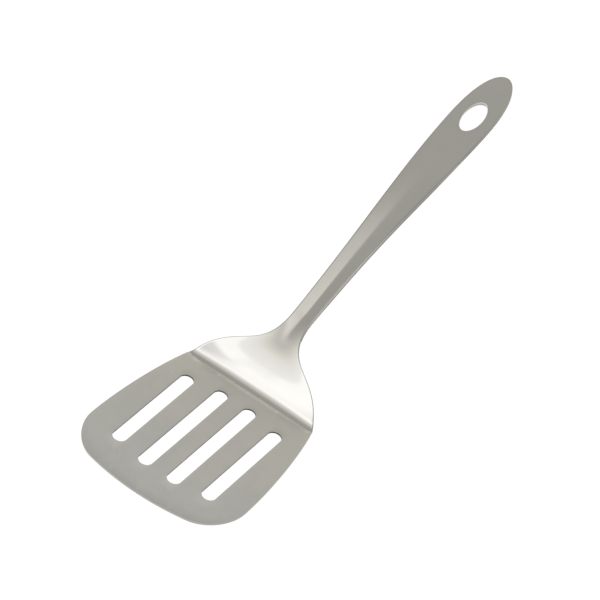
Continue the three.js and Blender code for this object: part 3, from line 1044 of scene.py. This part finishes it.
@dataclass
class Blade:
    """Flat slotted plate with softened edges, in its own plane: back along the blade, across, and up.

    Attributes are the driving sizes of the solid, with the same meanings. Each slot has its distance across
    and its distances from the heel and the front. Then come the softened edge's radius and the points along
    it, along each curve of a side, along each stretch of the heel and front, and along the lines between
    the slots, and the strips round a slot.
    """

    form: HandleForm
    origin: np.ndarray
    length: float = 104.8
    width: float = 96.6
    widest_from_front: float = 30.0
    side_heel_pull: float = 15.5
    side_heel_bulge: float = 4.1
    side_front_pull: float = 27.9
    front_radius: float = 130.0
    corner_inset: float = 18.3
    corner_front_pull: float = 9.0
    corner_side_pull: float = 13.0
    slot_width: float = 7.8
    inner_slot: Triple = (8.95, 10.4, 18.6)
    outer_slot: Triple = (28.0, 14.3, 22.5)
    edge_round: float = 0.1
    edge_points: int = 6
    side_points: int = 40
    stretch_points: int = 24
    line_points: int = 64
    slot_rows: int = 3

    def in_frame(self, plane: np.ndarray, height: np.ndarray | float) -> np.ndarray:
        """Turns points of the blade's plane by its tilt about the crease.

        Args:
            plane: points along and across the blade.
            height: heights above its face.

        Returns:
            Points from the crease.
        """
        along, across = plane[..., 0], plane[..., 1]
        height = np.broadcast_to(height, along.shape)
        cosine, sine = math.cos(self.form.blade_tilt), math.sin(self.form.blade_tilt)
        return np.stack([along * cosine + height * sine, across, height * cosine - along * sine], axis=-1)

    def outline(self) -> tuple[np.ndarray, list[int], list[int]]:
        """Loop of the plate: heel, right side, corner, front arc, corner and left side.

        Returns:
            Plane points, and the places where the lines between the slots meet the heel and the front.
        """
        heel, wide = self.form.heel_width / 2, self.width / 2
        between = (self.inner_slot[0] + self.outer_slot[0]) / 2
        corner_from = wide - self.corner_inset
        lean = math.asin(corner_from / self.front_radius)
        middle = self.front_radius - self.length
        corner = self.front_radius * math.cos(lean) - middle
        widest = self.length - self.widest_from_front
        bulge = (-self.side_heel_pull, -self.side_heel_bulge)
        side = pulled((0.0, -heel), bulge, (-self.side_front_pull, 0.0), (-widest, -wide))
        arrive = (-self.corner_front_pull * math.tan(lean), self.corner_front_pull)
        bend = pulled((-widest, -wide), (-self.corner_side_pull, 0.0), arrive, (-corner, -corner_from))
        steps = np.linspace(0.0, 1.0, self.side_points, endpoint=False)
        right = np.concatenate([bezier(side, steps), bezier(bend, steps)])
        left = right[1:][::-1] * (1.0, -1.0)
        count = self.stretch_points

        def stations(end: float) -> np.ndarray:
            """Places across from one end to the other, even between the lines that part the slots."""
            stops = (-end, -between, 0.0, between, end)
            return np.concatenate([np.linspace(a, b, count, endpoint=False) for a, b in pairwise(stops)])

        heel_line = -stations(heel)
        front_line = np.append(stations(corner_from), corner_from)
        heel_path = np.stack([np.zeros_like(heel_line), heel_line], axis=1)
        front_path = np.stack([middle - np.sqrt(self.front_radius**2 - front_line**2), front_line], axis=1)
        front = len(heel_path) + len(right)
        heels = [count * index for index in range(4)]
        fronts = [front + count * (4 - index) for index in range(4)]
        return np.concatenate([heel_path, right, front_path, left]), heels, fronts

    def slot_loop(self, loop: np.ndarray, slot: Triple, spread: float) -> np.ndarray:
        """Points of a round-ended slot that face the points of a loop round it.

        Each goes from the nearest point of the slot's middle line towards the loop, by half its width.

        Args:
            loop: plane points of the outer loop.
            slot: distance across, and distances from the heel and the front.
            spread: how far outside the slot's wall.

        Returns:
            One plane point for each.
        """
        radius = self.slot_width / 2
        across, from_heel, from_front = slot
        along = np.clip(loop[:, 0], from_front + radius - self.length, -from_heel - radius)
        middle = np.stack([along, np.full_like(along, across)], axis=1)
        away = loop - middle
        return middle + away / np.linalg.norm(away, axis=1, keepdims=True) * (radius + spread)

    def edge_profile(self) -> np.ndarray:
        """Softened edge from the top face to the underside: quarter circles at both corners.

        Returns:
            Distances in from the edge, and heights.
        """
        corner = quarter_round(self.edge_round, self.edge_points) * (1.0, -1.0)
        under = corner[::-1] * (1.0, -1.0) - (0.0, self.form.blade_wall)
        return np.concatenate([corner, under])

    def build(self) -> Piece:
        """Fills the plate strip by strip round each slot, and closes its edges.

        Returns:
            The piece.
        """
        sheet = SheetMesh("slotted_blade", self.origin)
        loop, heels, fronts = self.outline()
        inward = -inward_normals(loop, closed=True)
        inset, height = self.edge_profile().T
        # Painted shade: the lower strips of the outer edge take the edge steel's darker tint, and those of
        # the slot walls the near-black wall steel.
        painted_shade_strips = (height[1:, None] < -self.edge_round / 2).astype(int)
        band = loop[None] + inward[None] * inset[:, None, None]
        sheet.add(self.in_frame(band, height[:, None]), finish=painted_shade_strips)
        inner = band[0]
        shares = np.linspace(0.0, 1.0, self.line_points + 2)[1:-1, None]
        last = len(loop)

        def cut_line(start: int, end: int) -> np.ndarray:
            """Points of the line between two places of the inset loop, without its ends."""
            return inner[start] * (1.0 - shares) + inner[end] * shares

        def stretch(start: int, end: int) -> np.ndarray:
            """Points of the inset loop from one place to another."""
            return inner[np.arange(start, end + 1) % last]

        strips = [[stretch(0, heels[1]), cut_line(heels[1], fronts[1]), stretch(fronts[1], last - 1)]]
        for heel, next_heel, front, next_front in zip(heels[1:], heels[2:], fronts[1:], fronts[2:]):
            there = [stretch(heel, next_heel), cut_line(next_heel, next_front)]
            strips.append([*there, stretch(next_front, front), cut_line(front, heel)])
        strips.append([stretch(heels[3], fronts[3]), cut_line(fronts[3], heels[3])])
        slots = [self.outer_slot, self.inner_slot]
        slots += [(-across, *ends) for across, *ends in slots[::-1]]
        for parts, slot in zip(strips, slots):
            outer = np.concatenate(parts)
            wall = np.stack([self.slot_loop(outer, slot, spread) for spread in inset])
            sheet.add(self.in_frame(wall, height[:, None]), finish=2 * painted_shade_strips)
            patch = ring_patch(wall[0], outer, self.slot_rows)
            sheet.add(self.in_frame(patch, 0.0))
            sheet.add(self.in_frame(patch, -self.form.blade_wall))
        return sheet.build()


@dataclass
class Welds:
    """The beads that hold the sheets together.

    Attributes:
        form, blade: the handle's shape, and the blade, whose frame the plug welds share.
        gap: distance that a bead keeps from the sheets.
        bead_start, bead_spacing: start of the seam bead behind the back shell's front, and its steps.
        bead_points, bead_crown: points round its front, and that front's depth.
        bead_slack, bead_recess, bead_depth: room beside and outside it, and how far it reaches in.
        neck_leg, neck_share: legs of the neck fillet, and the share of the neck's width that it covers.
        neck_points: points along it and across its slope.
        neck_swell, neck_ripple, neck_wave: swell of its slope, the share that ripples, a ripple's length.
        plug_count, plug_end: number of plug welds, and distance of the outer ones from the middle line.
        plug_radius, plug_crown: radius of a plug weld, and height of its crown.
        plug_points: points from its rim to its middle and round it.
        plug_ripple, plug_waves: height of the crown's ripples, and half-waves from middle to rim.
    """

    form: HandleForm
    blade: Blade
    gap: float = 0.02
    bead_start: float = 1.5
    bead_spacing: float = 2.0
    bead_points: int = 9
    bead_slack: float = 0.01
    bead_recess: float = 0.12
    bead_crown: float = 0.2
    bead_depth: float = 0.9
    neck_leg: float = 1.4
    neck_share: float = 0.85
    neck_points: tuple[int, int] = (61, 12)
    neck_swell: float = 0.16
    neck_ripple: float = 0.45
    neck_wave: float = 1.3
    plug_count: int = 4
    plug_radius: float = 2.2
    plug_crown: float = 0.3
    plug_points: tuple[int, int] = (16, 48)
    plug_ripple: float = 0.04
    plug_waves: float = 7.0
    plug_end: float = 28.65

    def bar(self, name: str, rings: np.ndarray) -> Piece:
        """Makes a bead of its sections, closed at both ends.

        Args:
            name: name of the piece.
            rings: grid of points, one ring per place.

        Returns:
            The piece.
        """
        sheet = SheetMesh(name, self.blade.origin)
        sheet.add(rings)
        sheet.cap(rings[0], rings[-1])
        return sheet.build()

    def seam(self) -> Piece:
        """Bead in the seam between the shells: a half-round front carried along the outline.

        Returns:
            The piece.
        """
        form = self.form
        path, inward = form.edge_path(form.back_from + self.bead_start, self.bead_spacing)
        turn = np.linspace(-QUARTER_TURN, QUARTER_TURN, self.bead_points)
        reach = form.seam_gap / 2 - self.bead_slack
        front = self.bead_recess + self.bead_crown * (1.0 - np.cos(turn))
        inset = np.concatenate([front, [self.bead_depth, self.bead_depth]])
        rise = np.concatenate([reach * np.sin(turn), [reach, -reach]])
        plane = path[:, None] + inward[:, None] * inset[None, :, None]
        x = path[:, :1]
        middle = form.face(x, np.ones_like(x)) - form.lip(x) - form.seam_gap / 2
        return self.bar("seam_bead", with_height(plane, middle + rise))

    def neck(self) -> Piece:
        """Fillet under the neck: a rippled slope between the top shell's underside and the back shell.

        Returns:
            The piece.
        """
        form = self.form
        back = form.back_from - self.gap
        front = back - self.neck_leg
        half = form.half_width(np.array(back))
        y = np.linspace(-1.0, 1.0, self.neck_points[0])[:, None] * half * self.neck_share
        top_back, top_front = (
            form.face(np.array(x), np.abs(y) / half) - form.shell_wall - self.gap for x in (back, front)
        )
        low = top_back - form.edge_turn - form.seam_gap - form.back_wall
        t = np.linspace(0.0, 1.0, self.neck_points[1])[None, :]
        ripple = 1.0 + self.neck_ripple * np.sin(FULL_TURN * y / self.neck_wave)
        swell = self.neck_swell * np.sin(math.pi * t) * ripple
        x = np.concatenate([front + (back - front) * t - swell, np.full_like(y, back)], axis=1)
        z = np.concatenate([top_front + (low - top_front) * t - swell, top_back], axis=1)
        return self.bar("neck_fillet", np.stack([x, np.broadcast_to(y, x.shape), z], axis=-1))

    def plug(self, index: int) -> Piece:
        """Button that fills its hole in the flange: a rippled crown turned about its own axis.

        Args:
            index: which of the row it is, from 0.

        Returns:
            The piece.
        """
        radius = self.plug_radius
        length = self.form.clearance + self.form.shell_wall
        out = np.linspace(1.0, 0.0, self.plug_points[0])
        ripple = self.plug_ripple * np.cos(self.plug_waves * math.pi * out) * (1.0 - out)
        crown = -length - self.plug_crown * np.cos(QUARTER_TURN * out) + ripple
        reach = np.concatenate([[0.0, radius], radius * out])[:, None]
        height = np.concatenate([[-self.gap, -self.gap], crown])[:, None] - self.form.blade_wall
        angle = np.linspace(0.0, FULL_TURN, self.plug_points[1], endpoint=False)[None, :]
        across = (2.0 * index / (self.plug_count - 1) - 1.0) * self.plug_end
        plane = oval((-self.form.lap_length / 2, across), (reach, reach), angle)
        sheet = SheetMesh(f"plug_bead_{index + 1}", self.blade.origin)
        sheet.add(self.blade.in_frame(plane, height))
        return sheet.build()


@dataclass
class Studio:
    """Plain pale floor, soft overhead light and the camera at the photograph's angle.

    The light is drawn on the plane of the ceiling: along is X over Z, and across is Y over Z of a ray. A
    pair is where a change begins and ends, a gain is strength that is added, a rest is the share left.

    Attributes:
        azimuth, elevation, roll: angles of the view from +Y towards +X, above the table and about itself.
        distance, target: the camera's distance from the point at the image's middle, in metres.
        lens: focal length in millimetres.
        floor_reach, floor_drop: half of the floor's side, and how far it is under the tool, in metres.
        paper: the floor's colour to scattered light.
        shaded, glow: to the eye, colour of its part that takes the shadow, and strength of the other.
        lowest: Z that flatter rays count as.
        room_light: places along, and the light's strength there.
        box_edge, box_gain: end of the softbox along, and its gain.
        gap_at, gap_side, gap_rest: the gap in it across, distances of its sides, and its rest.
        fill_lean, fill_side: lean of the low fill's side along, and that side across.
        fill_start, fill_fade: its beginning and its thinning along.
        fill_rest, fill_gain: its rest there, and its gain.
        front_start, front_side, front_loss: light from the front that is lost: along, by Y, its share.
        warm_start, warm: where the light turns warm along, and its colour.
    """

    azimuth: float = math.radians(54.412)
    elevation: float = math.radians(61.241)
    roll: float = math.radians(0.389)
    distance: float = 1.83778
    target: Triple = (-0.010102, 0.011626, 0.0)
    lens: float = 209.754
    floor_reach: float = 6.0
    floor_drop: float = 5e-5
    paper: Colour = (0.80, 0.80, 0.79)
    shaded: Colour = (0.12, 0.12, 0.12)
    glow: float = 0.95
    lowest: float = 0.08
    room_light: Stops = (
        (-6.0, 0.5), (-2.6, 0.6), (-1.7, 0.85), (-1.25, 1.2), (-0.9, 1.3), (-0.65, 1.4), (-0.52, 1.42),
        (-0.36, 1.36), (-0.29, 1.27), (-0.2, 1.18), (-0.1, 1.02), (0.0, 0.87), (0.1, 0.74), (0.25, 0.62),
        (0.4, 0.55), (0.6, 0.51), (1.0, 0.49), (2.0, 0.62), (3.0, 0.72), (6.0, 0.8),
    )
    box_edge: Pair = (-0.385, -0.345)
    box_gain: float = 0.19
    gap_at: float = 0.308
    gap_side: Pair = (0.005, 0.014)
    gap_rest: float = 0.3
    fill_lean: float = 1.2
    fill_side: Pair = (0.86, 0.13)
    fill_start: Pair = (0.02, 0.25)
    fill_fade: Pair = (0.38, 0.62)
    fill_rest: float = 0.56
    fill_gain: float = 0.42
    front_start: Pair = (-0.5, -0.62)
    front_side: Pair = (0.285, 0.215)
    front_loss: float = 0.28
    warm_start: Pair = (-0.4, -0.1)
    warm: Colour = (1.0, 0.985, 0.93)

    def camera(self) -> None:
        """Places the camera by its three axes: right, up and back along the view."""
        sine, cosine = math.sin(self.azimuth), math.cos(self.azimuth)
        level = Vector((cosine, -sine, 0.0))
        ahead = Vector((sine, cosine, 0.0))
        rise, run = math.sin(self.elevation), math.cos(self.elevation)
        view = ahead * run - Vector((0.0, 0.0, rise))
        steep = ahead * rise + Vector((0.0, 0.0, run))
        right = level * math.cos(self.roll) + steep * math.sin(self.roll)
        up = steep * math.cos(self.roll) - level * math.sin(self.roll)
        lens = bpy.data.cameras.new("studio_camera")
        lens.lens = self.lens
        lens.sensor_width = SENSOR_WIDTH
        camera = bpy.data.objects.new("studio_camera", lens)
        place = Vector(self.target) - view * self.distance
        camera.matrix_world = Matrix.Translation(place) @ Matrix((right, up, -view)).transposed().to_4x4()
        bpy.context.scene.collection.objects.link(camera)
        bpy.context.scene.camera = camera

    def floor(self) -> None:
        """Lays the floor just under the tool: near white to the eye and to gloss, with the shadow kept."""
        reach, level = self.floor_reach, -self.floor_drop
        mesh = bpy.data.meshes.new("studio_floor")
        plan = ((-reach, -reach), (reach, -reach), (reach, reach), (-reach, reach))
        mesh.from_pydata([(*corner, level) for corner in plan], [], [(0, 1, 2, 3)])
        floor = bpy.data.objects.new("studio_floor", mesh)
        bpy.context.scene.collection.objects.link(floor)
        material = bpy.data.materials.new("pale_floor")
        material.use_nodes = True
        tree = material.node_tree
        tree.nodes.clear()
        bench = NodeBench(tree)
        rays = bench.add("LightPath", {})
        seen = bench.math("MAXIMUM", rays.outputs["Is Camera Ray"], rays.outputs["Is Glossy Ray"])
        seen = bench.math("MAXIMUM", seen, rays.outputs["Is Transmission Ray"])
        paper = bench.add("BsdfDiffuse", {"Color": (*self.paper, 1.0)}).outputs[0]
        shaded = bench.add("BsdfDiffuse", {"Color": (*self.shaded, 1.0)}).outputs[0]
        glow = bench.add("Emission", {"Color": (1.0, 1.0, 1.0, 1.0), "Strength": self.glow}).outputs[0]
        white = bench.add("AddShader", {0: shaded, 1: glow}).outputs[0]
        mix = bench.add("MixShader", {0: seen, 1: paper, 2: white}).outputs[0]
        bench.add("OutputMaterial", {"Surface": mix})
        mesh.materials.append(material)

    def light(self) -> None:
        """Draws the room's light by direction, on the plane of the ceiling.

        A ramp along, one softbox with a sharp edge and a narrow gap in it, and a low fill on one side.
        Light from the front is weaker on one side, and the light beyond the softbox is warm.
        """
        world = bpy.data.worlds.new("studio_light")
        world.use_nodes = True
        tree = world.node_tree
        tree.nodes.clear()
        bench = NodeBench(tree)
        ray = bench.add("SeparateXYZ", {0: bench.add("TexCoord", {}).outputs["Generated"]}).outputs
        height = bench.math("MAXIMUM", ray["Z"], self.lowest)
        along = bench.math("DIVIDE", ray["X"], height)
        across = bench.math("DIVIDE", ray["Y"], height)
        from_gap = bench.math("ABSOLUTE", bench.math("SUBTRACT", across, self.gap_at))
        gap = bench.fade(from_gap, self.gap_side, self.gap_rest, 1.0)
        box = bench.math("MULTIPLY", bench.fade(along, self.box_edge, 1.0, 0.0), gap)
        lean = bench.math("MULTIPLY_ADD", along, self.fill_lean, across)
        fill = bench.math("MULTIPLY", bench.fade(lean, self.fill_side), bench.fade(along, self.fill_start))
        fill = bench.math("MULTIPLY", fill, bench.fade(along, self.fill_fade, 1.0, self.fill_rest))
        light = bench.math("MULTIPLY_ADD", box, self.box_gain, bench.ramp(along, self.room_light))
        light = bench.math("MULTIPLY_ADD", fill, self.fill_gain, light)
        front = bench.fade(along, self.front_start, 0.0, self.front_loss)
        lost = bench.math("MULTIPLY", bench.fade(ray["Y"], self.front_side), front)
        light = bench.math("MULTIPLY", light, bench.math("SUBTRACT", 1.0, lost))
        seen = bench.add("LightPath", {}).outputs["Is Camera Ray"]
        strength = bench.add("Mix", {0: seen, 2: light, 3: 1.0}, data_type="FLOAT").outputs[0]
        colour = bench.blend(bench.fade(along, self.warm_start), (1.0, 1.0, 1.0, 1.0), (*self.warm, 1.0))
        backdrop = bench.add("Background", {"Color": colour, "Strength": strength}).outputs[0]
        bench.add("OutputWorld", {"Surface": backdrop})
        bpy.context.scene.world = world


# Satin blade steel with painted light. Its tint turns warmer towards the heel as a painted reflection of
# the warm handle, and its bright strip at the heel is painted light over the shoulder's dark reflection.
SATIN_BLADE_PAINTED_LIGHT = SteelFinish(
    name="satin_blade_painted_light_steel",
    tint=((-0.165, (0.61, 0.605, 0.592)), (-0.13, (0.61, 0.603, 0.58)), (-0.085, (0.60, 0.59, 0.545))),
    shade=(0.95, 0.955, 0.97),
    roughness=0.24,
    streaks=0.04,
    mottle_scale=30.0,
    strip=PaintedLightStrip(
        tint=(1.0, 0.98, 0.92),
        along=(-0.0739, -0.0707),
        right_end=(-0.0395, -0.0365),
        left_end=(0.031, 0.037),
    ),
)
POLISHED_HANDLE = SteelFinish(
    name="polished_handle_steel",
    tint=(0.625, 0.618, 0.593),
    shade=(0.975, 0.975, 0.975),
    roughness=0.06,
    streaks=0.03,
    mottle_scale=24.0,
    stroke=Stroke.ALONG,
    grain_height=1e-6,
    wear=0.03,
    far_roughness=0.26,
)
# Satin edge steel with painted shade. Its tint is darker than the face's to stand in for the shade that the
# edges mirror, and its stops along X make it darker or lighter as the edges are lit along the tool. The
# satin gloss is its own.
SATIN_EDGE_PAINTED_SHADE = SteelFinish(
    name="satin_edge_painted_shade_steel",
    tint=(
        (-0.073, (0.47, 0.46, 0.43)),
        (-0.069, (0.28, 0.274, 0.257)),
        (-0.045, (0.30, 0.294, 0.275)),
        (-0.02, (0.47, 0.46, 0.43)),
        (0.02, (0.46, 0.45, 0.42)),
        (0.05, (0.35, 0.343, 0.32)),
        (0.07, (0.315, 0.308, 0.288)),
        (0.11, (0.33, 0.323, 0.302)),
        (0.15, (0.43, 0.421, 0.394)),
    ),
    shade=(0.93, 0.93, 0.92),
    roughness=0.42,
    streaks=0.06,
    mottle_scale=26.0,
    stroke=Stroke.ALONG,
)
# Painted shade: near black, for the shade that the slot walls mirror under the blade.
PAINTED_SHADE_WALL = SteelFinish(
    name="painted_shade_wall_steel",
    tint=(0.06, 0.058, 0.053),
    shade=(0.75, 0.76, 0.75),
    roughness=0.5,
    streaks=0.1,
    mottle_scale=180.0,
    grain_height=4e-6,
)
# Satin back steel with painted shade: its darker tint stands in for the shade that the back shell's visible
# strip mirrors. The satin gloss is its own.
SATIN_BACK_PAINTED_SHADE = SteelFinish(
    name="satin_back_painted_shade_steel",
    tint=(0.44, 0.43, 0.40),
    shade=(0.93, 0.93, 0.925),
    roughness=0.36,
    streaks=0.06,
    mottle_scale=26.0,
    stroke=Stroke.ALONG,
    wear=0.06,
)
POLISHED_EYELET = SteelFinish(
    name="polished_eyelet_steel",
    tint=(0.625, 0.618, 0.593),
    shade=(0.975, 0.975, 0.975),
    roughness=0.2,
    streaks=0.03,
    mottle_scale=60.0,
    grain_height=1e-6,
    wear=0.04,
)
GROUND_WELD = SteelFinish(
    name="ground_weld_steel",
    tint=(0.36, 0.35, 0.32),
    shade=(0.83, 0.77, 0.72),
    roughness=0.45,
    streaks=0.1,
    mottle_scale=420.0,
    grain_height=1e-5,
    wear=0.08,
)


def crease_place(form: HandleForm) -> np.ndarray:
    """Place of the crease in the frame, in metres: the end of the blade's top face at its heel."""
    lowest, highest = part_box("blade")
    return np.array([highest[0], 0.0, lowest[2] + form.blade_wall * MM * math.cos(form.blade_tilt)])


def set_piece(piece: Piece, node: str, slot: str, *materials: bpy.types.Material) -> None:
    """Dresses a piece, ties it to its body, hides the solid that it stands for and names that solid in the
    log.

    Args:
        piece: the finished object.
        node: the solid that it replaces.
        slot: the record's material slot; not used.
        materials: its finishes, in the order that its faces count them.
    """
    for material in materials:
        piece.data.materials.append(material)
    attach(piece, "root")
    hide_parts(node)
    log.info("%s stands for %s, %d faces", piece.name, node, len(piece.data.polygons))


def main() -> None:
    """Builds the studio and the turner piece by piece."""
    logging.basicConfig(level=logging.INFO, format="%(name)s: %(message)s")
    bpy.context.scene.view_settings.view_transform = "Standard"
    studio = Studio()
    studio.camera()
    studio.floor()
    studio.light()
    form = HandleForm()
    origin = crease_place(form)
    effects = SteelEffects()
    handle_steel = POLISHED_HANDLE.material(effects)
    edge_steel = SATIN_EDGE_PAINTED_SHADE.material(effects)
    wall_steel = PAINTED_SHADE_WALL.material(effects)
    weld_steel = GROUND_WELD.material(effects)
    blade_steel = SATIN_BLADE_PAINTED_LIGHT.material(effects)
    back_steel = SATIN_BACK_PAINTED_SHADE.material(effects)
    eyelet_steel = POLISHED_EYELET.material(effects)
    blade = Blade(form, origin)
    welds = Welds(form, blade)
    set_piece(blade.build(), "blade", "blade_steel", blade_steel, edge_steel, wall_steel)
    set_piece(TopShell(form, origin).build(), "handle_top_shell", "handle_steel", handle_steel, edge_steel)
    set_piece(BackShell(form, origin).build(), "handle_back_shell", "handle_steel", back_steel)
    set_piece(Eyelet(form, origin).build(), "hanging_eyelet", "eyelet_steel", eyelet_steel, edge_steel)
    set_piece(welds.seam(), "seam_weld", "weld_steel", weld_steel)
    set_piece(welds.neck(), "neck_weld", "weld_steel", weld_steel)
    for index in range(welds.plug_count):
        set_piece(welds.plug(index), f"plug_weld_{index + 1}", "weld_steel", weld_steel)


if __name__ == "__main__":
    main()
